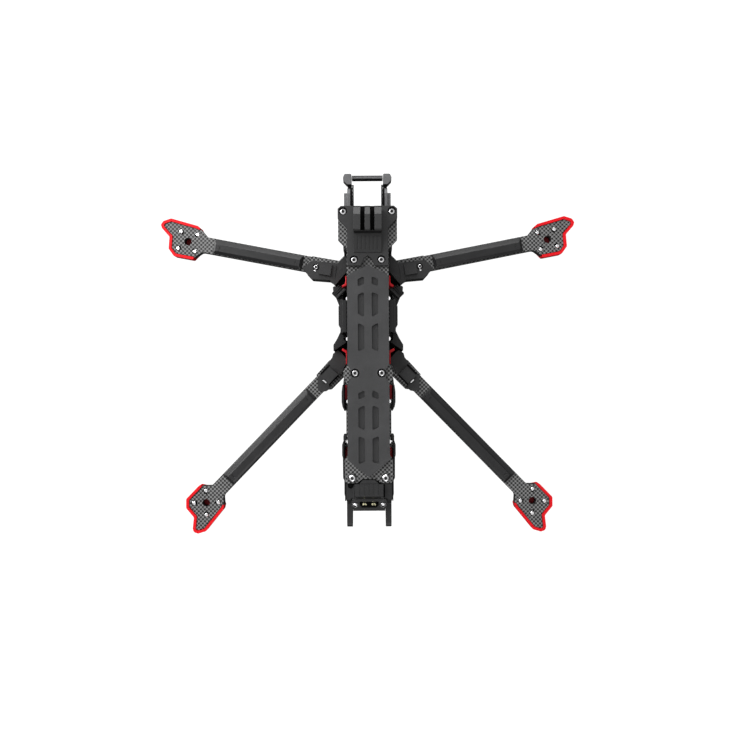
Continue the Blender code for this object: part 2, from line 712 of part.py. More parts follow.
def build_rear_housing(make):
    """Hollow block behind the top plate, open to the bay in front."""
    block = sideways(prism(TAIL_SIDE, -SLOPE_HALF, SLOPE_HALF))
    housing = make.add("rear_housing", block, "black_nylon")
    shoulders = sideways(prism(SHOULDER_SIDE, -HOUSING_HALF, HOUSING_HALF))
    combine(housing, make.helper("housing_shoulders", shoulders), "UNION")
    ridge = sideways(prism(RIDGE_SIDE, -RIDGE_HALF, RIDGE_HALF))
    combine(housing, make.helper("housing_ridge", ridge), "UNION")
    tongue = prism(TONGUE, TOP_PLATE[0] + 0.8, TONGUE_TOP)
    combine(housing, make.helper("housing_tongue", tongue), "UNION")
    room = sideways(prism(ROOM_SIDE, -SLOPE_HALF + WALL, SLOPE_HALF - WALL))
    combine(housing, make.helper("housing_room", room))
    width, height, thickness = FLANGE
    for name, outline, low in (
        ("housing_window", centred_box(SOCKET[0] + 2 * GAP, SOCKET[1] + 2 * GAP), -12.0),
        ("housing_seat", centred_box(width + 2 * GAP, height + 2 * GAP), -thickness - GAP),
    ):
        combine(housing, make.helper(name, on_slope(prism(outline, low, 4.0))))


def build_power_connector(make):
    width, height, thickness = FLANGE
    holes = [circle(sign * CONNECTOR_SCREW_X, 0.0, HOLE_RADIUS, 10) for sign in (-1, 1)]
    flange = prism(rounded(centred_box(width, height), 2.4), -thickness, 0.0, holes)
    connector = make.add("power_connector", on_slope(flange), "black_nylon")
    barrel = prism(socket_outline(*SOCKET[:2]), -SOCKET[2], -thickness / 2)
    combine(connector, make.helper("connector_barrel", on_slope(barrel)), "UNION")
    room = prism(socket_outline(*PIN_ROOM[:2]), -PIN_ROOM[2], 1.0)
    combine(connector, make.helper("connector_room", on_slope(room)))
    for side, sign in (("left", -1), ("right", 1)):
        pin = turned(CONTACT_PROFILE, 12)
        make.add("power_contact_" + side, on_slope(pin, sign * CONTACT_X), "brass")
        screw = turned(SOCKET_SCREW_PROFILE, 10)
        make.add("connector_screw_" + side, on_slope(screw, sign * CONNECTOR_SCREW_X), "steel")


def build_tail(make):
    """Rear block with the panel power socket, and two lugs behind it."""
    build_rear_housing(make)
    build_power_connector(make)
    for side, sign in (("left", -1), ("right", 1)):
        span = sorted((sign * LUG_X[0], sign * LUG_X[1]))
        lug = sideways(prism(LUG_SIDE, *span, [circle(*LUG_BORE, 12)]))
        make.add("antenna_lug_" + side, lug, "black_nylon")


def build_all():
    clear_scene()
    make = Builder()
    build_arms(make)
    build_foot_pads(make)
    build_arm_covers(make)
    build_clamps(make)
    build_plates(make)
    build_standoffs(make)
    build_side_panels(make)
    build_camera_mount(make)
    build_battery_pad(make)
    build_nose_cage(make)
    build_tail(make)


build_all()
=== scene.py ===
"""Looks of a bare seven inch FPV quadcopter frame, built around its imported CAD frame.

Shapes are drawn in millimetres about the middle of the four motor axes, with +Y to the
nose, and moved into the row frame by TO_WORLD. Most CAD nodes are shown as a copy with
softened edges and added detail; screws, spacers and small trim are made here.
"""
import math

import bmesh
import bpy
from mathutils import Matrix, Vector


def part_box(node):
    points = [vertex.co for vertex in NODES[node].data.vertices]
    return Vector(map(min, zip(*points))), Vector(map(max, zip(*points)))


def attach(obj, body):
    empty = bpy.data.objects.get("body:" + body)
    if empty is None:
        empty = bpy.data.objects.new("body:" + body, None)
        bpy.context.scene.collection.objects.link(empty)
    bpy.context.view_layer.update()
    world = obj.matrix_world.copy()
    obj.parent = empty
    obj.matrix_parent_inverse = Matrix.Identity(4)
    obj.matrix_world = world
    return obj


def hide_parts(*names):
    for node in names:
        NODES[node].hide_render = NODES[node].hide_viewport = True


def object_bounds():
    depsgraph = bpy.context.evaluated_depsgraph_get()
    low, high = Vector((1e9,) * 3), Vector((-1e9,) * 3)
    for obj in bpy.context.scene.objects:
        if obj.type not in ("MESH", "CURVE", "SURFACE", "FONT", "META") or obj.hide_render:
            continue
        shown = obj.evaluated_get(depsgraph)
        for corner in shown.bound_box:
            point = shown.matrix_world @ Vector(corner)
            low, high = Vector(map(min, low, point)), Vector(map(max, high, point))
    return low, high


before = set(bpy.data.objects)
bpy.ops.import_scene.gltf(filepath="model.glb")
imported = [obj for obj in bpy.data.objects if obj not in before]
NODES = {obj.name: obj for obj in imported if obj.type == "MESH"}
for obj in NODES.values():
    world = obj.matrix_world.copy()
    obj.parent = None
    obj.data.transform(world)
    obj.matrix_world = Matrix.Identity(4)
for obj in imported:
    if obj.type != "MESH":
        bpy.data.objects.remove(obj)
CAD_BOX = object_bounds()
SIDES = (("left", -1), ("right", 1))
ENDS = ("front_left", "front_right", "rear_left", "rear_right")

MM_PER_METRE = 1000.0
MM = 1 / MM_PER_METRE
PAD_LOW, PAD_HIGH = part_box("battery_pad")
TO_WORLD = Matrix.Translation((0, (PAD_LOW.y + PAD_HIGH.y) / 2, 0)) @ Matrix.Scale(MM, 4)
INTO_PLAN = TO_WORLD.inverted()


def node_box(name):
    """Box of a CAD node in millimetres about the motor middle."""
    low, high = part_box(name)
    return INTO_PLAN @ low, INTO_PLAN @ high


def heights(name):
    """Lowest and highest point of a CAD node."""
    low, high = node_box(name)
    return low.z, high.z


BOTTOM_FACE, _ = heights("bottom_plate")
ARM_LOW, ARM_TOP = heights("arm_front_left")
MID_LOW, MID_TOP = heights("mid_plate")
TOP_LOW, TOP_FACE = heights("top_plate")
_, PAD_TOP = heights("battery_pad")
BAY_TOP = TOP_LOW - 0.05
# Level of the clamps' upper face, below the blocks that stand on them
CLAMP_TOP = 18.2
# How far a cutter runs past the face that it opens
PAST = 4.0


# ---------------------------------------------------------------- materials

# Rise of a face's normal: a wall's is below the first value, a level face's above the second; walls
# get painted shade
WALL_LEVELNESS = (0.40, 0.66)
# Share of the colour left on moulded and rubber walls: painted shade
MOULDED_WALL_SHADE = 0.3
RUBBER_WALL_SHADE = 0.25


def scaled_colour(colour, share):
    return tuple(min(1.0, c * share) for c in colour)


class Look:
    """A Principled material with a small kit for procedural detail."""

    def __init__(self, name, roughness, metallic=0.0, specular=0.5):
        self.material = bpy.data.materials.new(name)
        self.material.use_nodes = True
        self.tree = self.material.node_tree
        self.shader = self.tree.nodes["Principled BSDF"]
        self.set("Roughness", roughness)
        self.set("Metallic", metallic)
        self.set("Specular IOR Level", specular)
        self.place = self.node("ShaderNodeTexCoord").outputs["Object"]

    def set(self, socket, value):
        self.shader.inputs[socket].default_value = value

    def node(self, kind, **settings):
        made = self.tree.nodes.new(kind)
        for key, value in settings.items():
            setattr(made, key, value)
        return made

    def link(self, source, target):
        self.tree.links.new(source, target)

    def scaled(self, x, y, z, turn=0.0):
        mapping = self.node("ShaderNodeMapping")
        self.link(self.place, mapping.inputs["Vector"])
        mapping.inputs["Rotation"].default_value = (0, 0, turn)
        mapping.inputs["Scale"].default_value = (x, y, z)
        return mapping.outputs["Vector"]

    def noise(self, size, detail=3.0, stretch=(1, 1, 1), turn=0.0, rough=0.55):
        """Noise with features of about size millimetres."""
        made = self.node("ShaderNodeTexNoise")
        scale = MM_PER_METRE / size
        self.link(self.scaled(*[scale * s for s in stretch], turn), made.inputs["Vector"])
        made.inputs["Scale"].default_value = 1.0
        made.inputs["Detail"].default_value = detail
        made.inputs["Roughness"].default_value = rough
        return made.outputs["Fac"]

    def maths(self, operation, first, second=None, clamp=False):
        made = self.node("ShaderNodeMath", operation=operation, use_clamp=clamp)
        for socket, value in zip(made.inputs, (first, second)):
            if value is None:
                continue
            if isinstance(value, (int, float)):
                socket.default_value = value
            else:
                self.link(value, socket)
        return made.outputs[0]

    def ramp(self, factor, stops):
        """Colour ramp; each stop is a place and a grey value or a colour."""
        made = self.node("ShaderNodeValToRGB")
        self.link(factor, made.inputs["Fac"])
        elements = made.color_ramp.elements
        while len(elements) < len(stops):
            elements.new(0.5)
        for element, (position, colour) in zip(elements, stops):
            rgb = (colour,) * 3 if isinstance(colour, (int, float)) else colour
            element.position = position
            element.color = (*rgb, 1.0)
        return made.outputs["Color"]

    def mix(self, factor, first, second):
        made = self.node("ShaderNodeMix", data_type="RGBA")
        self.link(factor, made.inputs["Factor"])
        for socket, value in ((made.inputs["A"], first), (made.inputs["B"], second)):
            if isinstance(value, tuple):
                socket.default_value = (*value, 1.0)
            else:
                self.link(value, socket)
        return made.outputs["Result"]

    def axis(self, index):
        made = self.node("ShaderNodeSeparateXYZ")
        self.link(self.place, made.inputs[0])
        return made.outputs[index]

    def levelness(self, normal):
        """1 on faces that look straight up or down and 0 on upright ones."""
        made = self.node("ShaderNodeSeparateXYZ")
        self.link(self.node("ShaderNodeNewGeometry").outputs[normal], made.inputs[0])
        return self.maths("ABSOLUTE", made.outputs[2])

    def side_faces(self):
        """1 on upright faces and 0 on level ones."""
        return self.maths("LESS_THAN", self.levelness("True Normal"), 0.5)

    def painted_wall_shade(self):
        """Mask of painted wall shade: 1 on walls, falling to 0 on faces that look up or down."""
        fall = self.node("ShaderNodeMapRange")
        self.link(self.levelness("Normal"), fall.inputs["Value"])
        limits = zip(("From Min", "From Max", "To Min", "To Max"), (*WALL_LEVELNESS, 1.0, 0.0))
        for socket, value in limits:
            fall.inputs[socket].default_value = value
        return fall.outputs["Result"]

    def layers(self, pitch):
        """Height of printed or laid up layers, one every pitch millimetres of z."""
        turns = self.maths("MULTIPLY", self.axis(2), MM_PER_METRE / pitch * 2 * math.pi)
        return self.maths("SINE", turns)

    def colour(self, source):
        self.link(source, self.shader.inputs["Base Color"])

    def shaded(self, skin, colour, wall_shade_share):
        """Use the skin, with walls darkened to a share of the plain colour as painted shade."""
        if wall_shade_share < 1:
            skin = self.mix(self.painted_wall_shade(), skin, scaled_colour(colour, wall_shade_share))
        self.colour(skin)

    def rough(self, factor, low, high):
        made = self.node("ShaderNodeMapRange")
        self.link(factor, made.inputs["Value"])
        made.inputs["To Min"].default_value = low
        made.inputs["To Max"].default_value = high
        self.link(made.outputs["Result"], self.shader.inputs["Roughness"])

    def bump(self, height, depth, strength=1.0):
        """Bump whose height runs over depth millimetres."""
        made = self.node("ShaderNodeBump")
        made.inputs["Strength"].default_value = strength
        made.inputs["Distance"].default_value = depth * MM
        self.link(height, made.inputs["Height"])
        self.link(made.outputs["Normal"], self.shader.inputs["Normal"])


# Sizes in millimetres: a weave cell, a carbon layer, a silicone pebble and a grain's depth
WEAVE = 1.53
LAYER = 0.5
PEBBLE = 0.55
GRAIN_DEPTH = 0.02


def carbon_look(name, dark, light):
    """Woven carbon sheet: plain weave on level faces, laid up layers on cut edges."""
    look = Look(name, 0.38, specular=0.22)
    cells = look.scaled(*(MM_PER_METRE / WEAVE,) * 3)
    check = look.node("ShaderNodeTexChecker")
    look.link(cells, check.inputs["Vector"])
    check.inputs["Scale"].default_value = 1.0
    parity = check.outputs["Fac"]
    along = look.noise(WEAVE, 4.0, (0.5, 9.0, 1.0))
    across = look.noise(WEAVE, 4.0, (9.0, 0.5, 1.0))
    strands = look.mix(parity, along, across)
    patches = look.noise(14.0, 2.0)
    shade = look.maths("MULTIPLY", parity, 0.72)
    shade = look.maths("ADD", shade, look.maths("MULTIPLY", strands, 0.30))
    shade = look.maths("ADD", shade, look.maths("MULTIPLY", patches, 0.12), clamp=True)
    woven = look.ramp(shade, [(0.12, dark), (0.55, (dark + light) / 2.4), (1.0, light)])
    edge = look.ramp(look.layers(LAYER), [(0.0, 0.012), (1.0, 0.035)])
    sides = look.side_faces()
    look.colour(look.mix(sides, woven, edge))
    look.rough(strands, 0.34, 0.56)
    relief = look.mix(sides, strands, look.layers(LAYER))
    look.bump(relief, 0.03, 0.6)
    return look.material


def moulded_look(name, colour, grain=0.35, roughness=0.5, specular=0.3):
    """Injection moulded plastic: fine spark-eroded grain with slow colour change, and painted shade
    on its walls.
    """
    look = Look(name, roughness, specular=specular)
    fine = look.noise(grain, 2.0)
    broad = look.noise(9.0, 3.0)
    tone = look.maths("ADD", look.maths("MULTIPLY", fine, 0.6), look.maths("MULTIPLY", broad, 0.4))
    skin = look.ramp(tone, [(0.32, scaled_colour(colour, 0.72)),
                            (0.68, scaled_colour(colour, 1.28))])
    look.shaded(skin, colour, MOULDED_WALL_SHADE)
    look.rough(tone, roughness - 0.10, roughness + 0.12)
    look.bump(fine, GRAIN_DEPTH, 0.7)
    return look.material


def printed_look(name, colour, pitch=0.6, roughness=0.6, specular=0.3, depth=0.05, wall_shade_share=1):
    """Flexible printed plastic: fine level layers, grain on the flats, and painted shade on walls
    if their share is below 1.
    """
    look = Look(name, roughness, specular=specular)
    fine = look.noise(0.5, 3.0)
    strands = look.noise(0.6, 2.0, (0.08, 1.6, 1.0), math.radians(45))
    steps = look.layers(pitch)
    tone = look.maths("ADD", look.maths("MULTIPLY", fine, 0.55),
                      look.maths("MULTIPLY", strands, 0.45))
    skin = look.ramp(tone, [(0.30, scaled_colour(colour, 0.82)),
                            (0.70, scaled_colour(colour, 1.18))])
    look.shaded(skin, colour, wall_shade_share)
    look.rough(tone, roughness - 0.10, roughness + 0.10)
    look.bump(look.mix(look.side_faces(), strands, steps), depth, 0.6)
    return look.material


def rubber_look(name, colour, shade_height):
    """Matt silicone sheet: pebbled grain, a slight bloom, painted shade below the given height and
    on walls.
    """
    look = Look(name, 0.75, specular=0.22)
    pebble = look.node("ShaderNodeTexVoronoi", feature="SMOOTH_F1")
    look.link(look.scaled(*(MM_PER_METRE / PEBBLE,) * 3), pebble.inputs["Vector"])
    pebble.inputs["Scale"].default_value = 1.0
    broad = look.noise(16.0, 4.0)
    skin = look.ramp(broad, [(0.3, scaled_colour(colour, 0.86)),
                             (0.7, scaled_colour(colour, 1.14))])
    # Darker below the given height: painted shade in the recesses
    recess_shade = look.maths("LESS_THAN", look.axis(2), shade_height * MM)
    look.shaded(look.mix(recess_shade, skin, scaled_colour(colour, 0.66)), colour, RUBBER_WALL_SHADE)
    look.rough(pebble.outputs["Distance"], 0.62, 0.86)
    look.bump(pebble.outputs["Distance"], 0.03, 0.5)
    look.set("Sheen Weight", 0.05)
    return look.material


def metal_look(name, colour, roughness, stretch=(1, 1, 1), size=0.5, spread=0.25, metallic=1.0,
               wall_shade_share=1):
    """Metal with brushed or blasted texture and small scuffs, and painted shade on walls if their
    share is below 1.
    """
    look = Look(name, roughness, metallic=metallic)
    brushed = look.noise(size, 4.0, stretch)
    scuffs = look.noise(4.0, 5.0, rough=0.7)
    tone = look.maths("ADD", look.maths("MULTIPLY", brushed, 0.7),
                      look.maths("MULTIPLY", scuffs, 0.3))
    skin = look.ramp(tone, [(0.34, scaled_colour(colour, 1 - spread)),
                            (0.66, scaled_colour(colour, 1 + spread))])
    look.shaded(skin, colour, wall_shade_share)
    look.rough(tone, roughness - 0.08, roughness + 0.14)
    look.bump(brushed, 0.012, 0.5)
    return look.material


# The pad's recess floors lie lower than this below its top; the silicone below it is darkened as
# painted shade
PAD_SHADE_DEPTH = 0.6
# Moulded and rubber looks, and those with a wall share below 1, darken their walls as painted shade
LOOKS = {
    "carbon": carbon_look("carbon_weave", dark=0.003, light=0.168),
    "nylon": moulded_look("moulded_nylon", (0.019, 0.019, 0.0195), specular=0.26),
    "panel": moulded_look("panel_nylon", (0.012, 0.012, 0.0125), grain=0.4, roughness=0.46,
                          specular=0.24),
    "cover": moulded_look("cover_nylon", (0.012, 0.012, 0.0125), grain=0.3, roughness=0.40,
                          specular=0.30),
    "tail": moulded_look("tail_nylon", (0.016, 0.016, 0.0165), grain=0.35, roughness=0.46,
                         specular=0.26),
    "tpu": printed_look("mount_tpu", (0.020, 0.020, 0.0205), pitch=0.6, roughness=0.50,
                        specular=0.28, wall_shade_share=0.5),
    "red": printed_look("red_tpu", (0.56, 0.006, 0.011), pitch=0.7, roughness=0.55,
                        specular=0.12, depth=0.03),
    "grommet": printed_look("grommet_tpu", (0.40, 0.006, 0.011), pitch=0.7, roughness=0.45,
                            specular=0.22, depth=0.03),
    # Darker red; on the hub disc it is the red bumper in painted shade
    "dark_red": printed_look("dark_red_tpu", (0.20, 0.006, 0.010), pitch=0.7, roughness=0.5,
                             specular=0.2, depth=0.03),
    "pad": rubber_look("pad_silicone", (0.038, 0.038, 0.039), PAD_TOP - PAD_SHADE_DEPTH),
    "grey": metal_look("blasted_aluminium", (0.085, 0.085, 0.088), 0.55, size=0.45,
                       spread=0.35, metallic=0.2, wall_shade_share=0.12),
    "spacer": metal_look("black_anodised", (0.045, 0.045, 0.048), 0.34, stretch=(1, 1, 6),
                         size=0.6),
    "steel": metal_look("screw_steel", (0.80, 0.80, 0.81), 0.26, stretch=(1, 1, 0.3),
                        spread=0.10),
    "blackened": metal_look("blackened_steel", (0.020, 0.020, 0.021), 0.40),
    # Lighter nylon, painted light: on the power socket's rear-facing slant, and a painted highlight
    # on the tail bead
    "painted_light": moulded_look("painted_light_nylon", (0.034, 0.034, 0.0345), grain=0.35, roughness=0.46),
    # Near-black sheets and blocks put where there is only shade: painted shade
    "painted_shade": moulded_look("painted_shade_black", (0.003, 0.003, 0.003), grain=0.4, roughness=0.7,
                         specular=0.03),
    # Dark inside of hex sockets: painted shade
    "socket": metal_look("socket_painted_shade", (0.03, 0.03, 0.03), 0.55, size=0.4, metallic=0.3),
    "brass": metal_look("contact_gold", (1.0, 0.92, 0.60), 0.34, stretch=(1, 1, 0.3),
                        spread=0.08, metallic=0.4),
}


# ----------------------------------------------------------------- outlines

# Points of a ring, the same for circles and hexagons, so that they can be bridged
RING_POINTS = 24


def circle(x, y, radius, count=RING_POINTS, turn=0.0):
    angles = [turn + 2 * math.pi * step / count for step in range(count)]
    return [(x + radius * math.cos(a), y + radius * math.sin(a)) for a in angles]


def box_outline(x0, y0, x1, y1):
    return [(x0, y0), (x1, y0), (x1, y1), (x0, y1)]


def strip(start, end, width):
    """Rectangle about the line from start to end."""
    a, b = Vector(start), Vector(end)
    way = (b - a).normalized() * (width / 2)
    side = Vector((-way.y, way.x))
    return [tuple(p) for p in (a - side, b - side, b + side, a + side)]


def rounded(points, radius, count=4):
    """Outline with its corners eased over about this radius."""
    corners = [Vector(p) for p in points]
    result = []
    for index, corner in enumerate(corners):
        to_last = corners[index - 1] - corner
        to_next = corners[(index + 1) % len(corners)] - corner
        half = to_last.angle(to_next) / 2
        reach = min(radius / math.tan(half), 0.45 * to_last.length, 0.45 * to_next.length)
        start = corner + to_last.normalized() * reach
        end = corner + to_next.normalized() * reach
        for step in range(count + 1):
            t = step / count
            point = start * (1 - t) ** 2 + corner * 2 * t * (1 - t) + end * t ** 2
            result.append(tuple(point))
    return result


def on_side(points, sign):
    """Outline drawn for the right side, mirrored for the left one."""
    return [(sign * x, y) for x, y in points]


# ------------------------------------------------------------------- meshes

COPY_MERGE = 2e-3
CARVE_MERGE = 1e-3
FLAT_ANGLE = math.radians(0.8)


def rings(levels):
    """Solid through matching outlines, each given with its height."""
    mesh = bmesh.new()
    loops = []
    for outline, height in levels:
        loops.append([mesh.verts.new((x, y, height)) for x, y in outline])
    for lower, upper in zip(loops, loops[1:]):
        for index in range(len(lower)):
            mesh.faces.new((lower[index - 1], lower[index], upper[index], upper[index - 1]))
    mesh.faces.new(loops[0])
    mesh.faces.new(loops[-1])
    bmesh.ops.recalc_face_normals(mesh, faces=mesh.faces)
    return mesh


def prism(outline, low, high):
    return rings([(outline, low), (outline, high)])


def turned(profile, count=RING_POINTS):
    """Round solid from (radius, height) pairs."""
    return rings([(circle(0, 0, radius, count), height) for radius, height in profile])


def sideways(mesh):
    """Turn a prism drawn in (y, z) so that it is thick along X."""
    mesh.transform(Matrix(((0, 0, 1, 0), (1, 0, 0, 0), (0, 1, 0, 0), (0, 0, 0, 1))))
    bmesh.ops.recalc_face_normals(mesh, faces=mesh.faces)
    return mesh


def placed(mesh, x, y, z=0.0):
    """The mesh moved by these millimetres."""
    bmesh.ops.translate(mesh, verts=mesh.verts, vec=(x, y, z))
    return mesh


def joined(meshes):
    """One mesh that holds all of these, which are used up."""
    result = bmesh.new()
    for part in meshes:
        data = bpy.data.meshes.new("part")
        part.to_mesh(data)
        part.free()
        result.from_mesh(data)
        bpy.data.meshes.remove(data)
    return result


def copied(node):
    """Mesh of a CAD node with its flat faces whole again."""
    mesh = bmesh.new()
    mesh.from_mesh(NODES[node].data)
    mesh.transform(INTO_PLAN)
    bmesh.ops.remove_doubles(mesh, verts=mesh.verts, dist=COPY_MERGE)
    tidy_flats(mesh)
    return mesh


def tidy_flats(mesh):
    """Take out the edges inside flat faces."""
    bmesh.ops.dissolve_limit(mesh, angle_limit=FLAT_ANGLE, verts=mesh.verts,
                             edges=mesh.edges)


def held(mesh, name):
    """Object with this mesh, which is used up."""
    data = bpy.data.meshes.new(name)
    mesh.to_mesh(data)
    mesh.free()
    item = bpy.data.objects.new(name, data)
    bpy.context.scene.collection.objects.link(item)
    return item


def carved(mesh, tools, operation="DIFFERENCE"):
    """Exact boolean of a mesh with several separate solids."""
    body, tool = held(mesh, "carve_body"), held(joined(tools), "carve_tool")
    modifier = body.modifiers.new("carve", "BOOLEAN")
    modifier.operation = operation
    modifier.solver = "EXACT"
    modifier.use_self = True
    modifier.object = tool
    shape = body.evaluated_get(bpy.context.evaluated_depsgraph_get())
    result = bmesh.new()
    result.from_mesh(shape.to_mesh())
    for item in (body, tool):
        data = item.data
        bpy.data.objects.remove(item, do_unlink=True)
        bpy.data.meshes.remove(data)
    bmesh.ops.remove_doubles(result, verts=result.verts, dist=CARVE_MERGE)
    tidy_flats(result)
    return result


def softened(mesh, width, segments=2, angle=32.0):
    """Round every edge that turns by more than angle."""
    sharp = [edge for edge in mesh.edges if len(edge.link_faces) == 2
             and edge.calc_face_angle() > math.radians(angle)]
    bmesh.ops.bevel(mesh, geom=sharp, offset=width, segments=segments, profile=0.5,
                    affect="EDGES", clamp_overlap=True)
    return mesh


def show(name, mesh, look, stands_for=(), smooth=50.0):
    """Make a piece from a mesh in plan millimetres and hang it on the frame."""
    bmesh.ops.recalc_face_normals(mesh, faces=mesh.faces)
    mesh.transform(TO_WORLD)
    item = held(mesh, name)
    item.data.shade_smooth()
    item.data.set_sharp_from_angle(angle=math.radians(smooth))
    item.data.materials.append(LOOKS[look])
    # Faces marked 1 get the dark socket look: painted shade inside hex sockets
    if any(face.material_index for face in item.data.polygons):
        item.data.materials.append(LOOKS["socket"])
    weighted = item.modifiers.new("even_normals", "WEIGHTED_NORMAL")
    weighted.keep_sharp = True
    weighted.weight = 80
    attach(item, "root")
    if stands_for:
        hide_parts(*stands_for)
    return item


# --------------------------------------------------------------------- arms

FRONT_MOTOR = (136.3, 99.1)
REAR_MOTOR = (123.7, -99.1)
FRONT_SLOPE = math.radians(10.9)
REAR_SLOPE = math.radians(45.85)
# Motor screws: their circle, head and shank radii, and what stands above the arm
SCREW_CIRCLE = 9.2
MOTOR_HEAD = 2.75
MOTOR_SHANK = 1.42
MOTOR_TIP = 0.45
HUB_DISC = 2.75
# Part of a front bumper's wall that ends early beside the arm
BUMPER_TRIM = box_outline(-14.0, 7.0, -7.3, 15.0)


def arm_frame(end):
    """Outward way, horn way and motor centre of an arm."""
    front = end.startswith("front")
    side = -1 if end.endswith("left") else 1
    motor = FRONT_MOTOR if front else REAR_MOTOR
    slope = FRONT_SLOPE if front else -REAR_SLOPE
    along = Vector((side * math.cos(slope), math.sin(slope)))
    across = Vector((-side * math.sin(slope), math.cos(slope))) * (1 if front else -1)
    return along, across, Vector((side * motor[0], motor[1]))


def on_arm(end, points):
    """Points given outward from the motor and towards the horn, moved into the plan."""
    along, across, motor = arm_frame(end)
    return [tuple(motor + along * u + across * v) for u, v in points]


def hexagon(radius):
    """Hexagon of this half width across its flats, with the points of a ring."""
    points = []
    for step in range(RING_POINTS):
        angle = 2 * math.pi * step / RING_POINTS
        turn = (angle + math.pi / 6) % (math.pi / 3) - math.pi / 6
        reach = radius / math.cos(turn)
        points.append((reach * math.cos(angle), reach * math.sin(angle)))
    return points


def socket_screw(radius, top, seat, tip, shank, hex_half, dome=0.6):
    """Screw with a domed head and a hexagon socket; the head is above seat."""
    height = top - seat
    profile = [
        (shank * 0.7, tip), (shank, tip + 0.5), (shank, seat), (radius * 0.97, seat),
        (radius, seat + 0.12 * height), (radius, seat + 0.35 * height),
        (radius * 0.93, seat + (1 - dome * 0.6) * height),
        (radius * 0.78, seat + (1 - dome * 0.2) * height), (radius * 0.58, top),
    ]
    socket = [
        (hex_half * 1.06, top), (hex_half, top - 0.12), (hex_half, top - 0.6 * height),
        (hex_half * 0.3, top - 0.72 * height),
    ]
    mesh = rings([(circle(0, 0, reach), level) for reach, level in profile]
                 + [(hexagon(half), level) for half, level in socket])
    # Faces inside the hex socket take the dark second look: painted shade
    for face in mesh.faces:
        reach = max(vert.co.xy.length for vert in face.verts)
        if reach < hex_half * 1.17 and face.calc_center_median().z > seat:
            face.material_index = 1
    return mesh


def upside_down(mesh):
    """The mesh turned over about the X axis."""
    mesh.transform(Matrix.Diagonal((1, -1, -1, 1)))
    bmesh.ops.recalc_face_normals(mesh, faces=mesh.faces)
    return mesh


THREAD_PITCH = 0.5
THREAD_POINTS = 20


def thread(radius, low, high):
    """Ridged shank end, as a screw tip that stands out of a hole."""
    profile = []
    height = low
    while height < high - THREAD_PITCH:
        profile += [(radius * 0.9, height), (radius, height + THREAD_PITCH / 2)]
        height += THREAD_PITCH
    profile += [(radius * 0.9, height), (radius * 0.72, high)]
    return turned(profile, THREAD_POINTS)


def build_motor_ends():
    """Arm, bumper, motor screws and the dark red disc that shows through the shaft hole, the red
    bumper in painted shade.
    """
    for end in ENDS:
        arm = softened(copied("arm_" + end), 0.25, segments=1)
        show("carbon_arm_" + end, arm, "carbon", ["arm_" + end])
        bumper = copied("foot_pad_" + end)
        if end.startswith("front"):
            trim = prism(on_arm(end, BUMPER_TRIM), ARM_LOW + 0.3, ARM_TOP + PAST)
            bumper = carved(bumper, [trim])
        show("bumper_" + end, softened(bumper, 0.5), "red", ["foot_pad_" + end])
        _, _, motor = arm_frame(end)
        tips, heads = [], []
        for x, y in on_arm(end, circle(0, 0, SCREW_CIRCLE, 4, math.pi / 4)):
            tips.append(placed(thread(MOTOR_SHANK, ARM_LOW - 0.2, ARM_TOP + MOTOR_TIP), x, y))
            head = socket_screw(MOTOR_HEAD, top=2.2, seat=0.0, tip=-1.0, shank=1.4,
                                hex_half=1.25, dome=0.3)
            heads.append(placed(upside_down(head), x, y, ARM_LOW - 0.05))
        # Dark red disc under the shaft hole: the red bumper in painted shade
        disc = turned([(HUB_DISC - 0.15, ARM_LOW - 0.28), (HUB_DISC, ARM_LOW - 0.1),
                       (HUB_DISC, ARM_LOW + 0.1)])
        show("hub_shade_disc_" + end, placed(disc, motor.x, motor.y), "dark_red")
        show("motor_screw_tips_" + end, joined(tips), "steel")
        show("motor_screw_heads_" + end, joined(heads), "steel")


COVER_ENDS = {"front": (-88.5, -20.0), "rear": (-115.3, -24.3)}
# Each step's two edges across the arm, how far its ends lean in, and its height
COVER_STEPS = {
    "front": ((-5.5, 5.5, 0.0, 0.0), (-5.5, 5.5, 0.0, 0.65), (-5.3, 5.2, 0.3, 1.2),
              (-4.3, 3.1, 1.2, 1.95), (-3.6, 1.5, 2.0, 2.6)),
    "rear": ((-5.5, 5.5, 0.0, 0.0), (-5.5, 5.5, 0.0, 0.7), (-5.2, 5.4, 0.4, 0.9),
             (-2.4, 5.1, 1.7, 1.85), (-1.7, 3.3, 2.1, 2.6)),
}
# Snap line: its place from the cover's end, and half its width and length
SNAP_PLACE = 5.2
SNAP_HALF = (0.25, 1.2)
SNAP_FLOOR = 2.3
CREASE_ANGLE = 8.0


def build_arm_covers():
    """Wire cover with a wide and a narrow slope, a raised flat and a snap line at each end."""
    low = ARM_TOP + 0.02
    for end in ENDS:
        pair = end.split("_")[0]
        inner, outer = COVER_ENDS[pair]
        solid = []
        for near, far, slant, height in COVER_STEPS[pair]:
            outline = box_outline(inner + slant, near, outer - slant, far)
            solid.append((on_arm(end, rounded(outline, 0.8, 2)), low + height))
        cover = rings(solid)
        near, far, _, _ = COVER_STEPS[pair][-1]
        middle = (near + far) / 2
        cuts = []
        for u in (inner + SNAP_PLACE, outer - SNAP_PLACE):
            snap = box_outline(u - SNAP_HALF[0], middle - SNAP_HALF[1],
                               u + SNAP_HALF[0], middle + SNAP_HALF[1])
            cuts.append(prism(on_arm(end, snap), low + SNAP_FLOOR, low + PAST))
        cover = carved(cover, cuts)
        cover = softened(cover, 0.12, segments=1, angle=40)
        show("wire_cover_" + end, cover, "cover", ["arm_cover_" + end], CREASE_ANGLE)


# ------------------------------------------------------------------- clamps

def build_clamps():
    for side, sign in SIDES:
        build_front_clamp(side, sign)
        build_rear_clamp(side, sign)


FRONT_SCREW = (38.8, 78.0)
FRONT_WELL = 2.5
FRONT_PIN = rounded(strip((38.9, 74.8), (40.0, 75.7), 1.2), 0.5)
FRONT_PIN_WELL = strip((38.6, 74.7), (40.2, 76.0), 1.9)
FRONT_SEAM = strip((24.6, 68.6), (23.0, 78.9), 0.45)


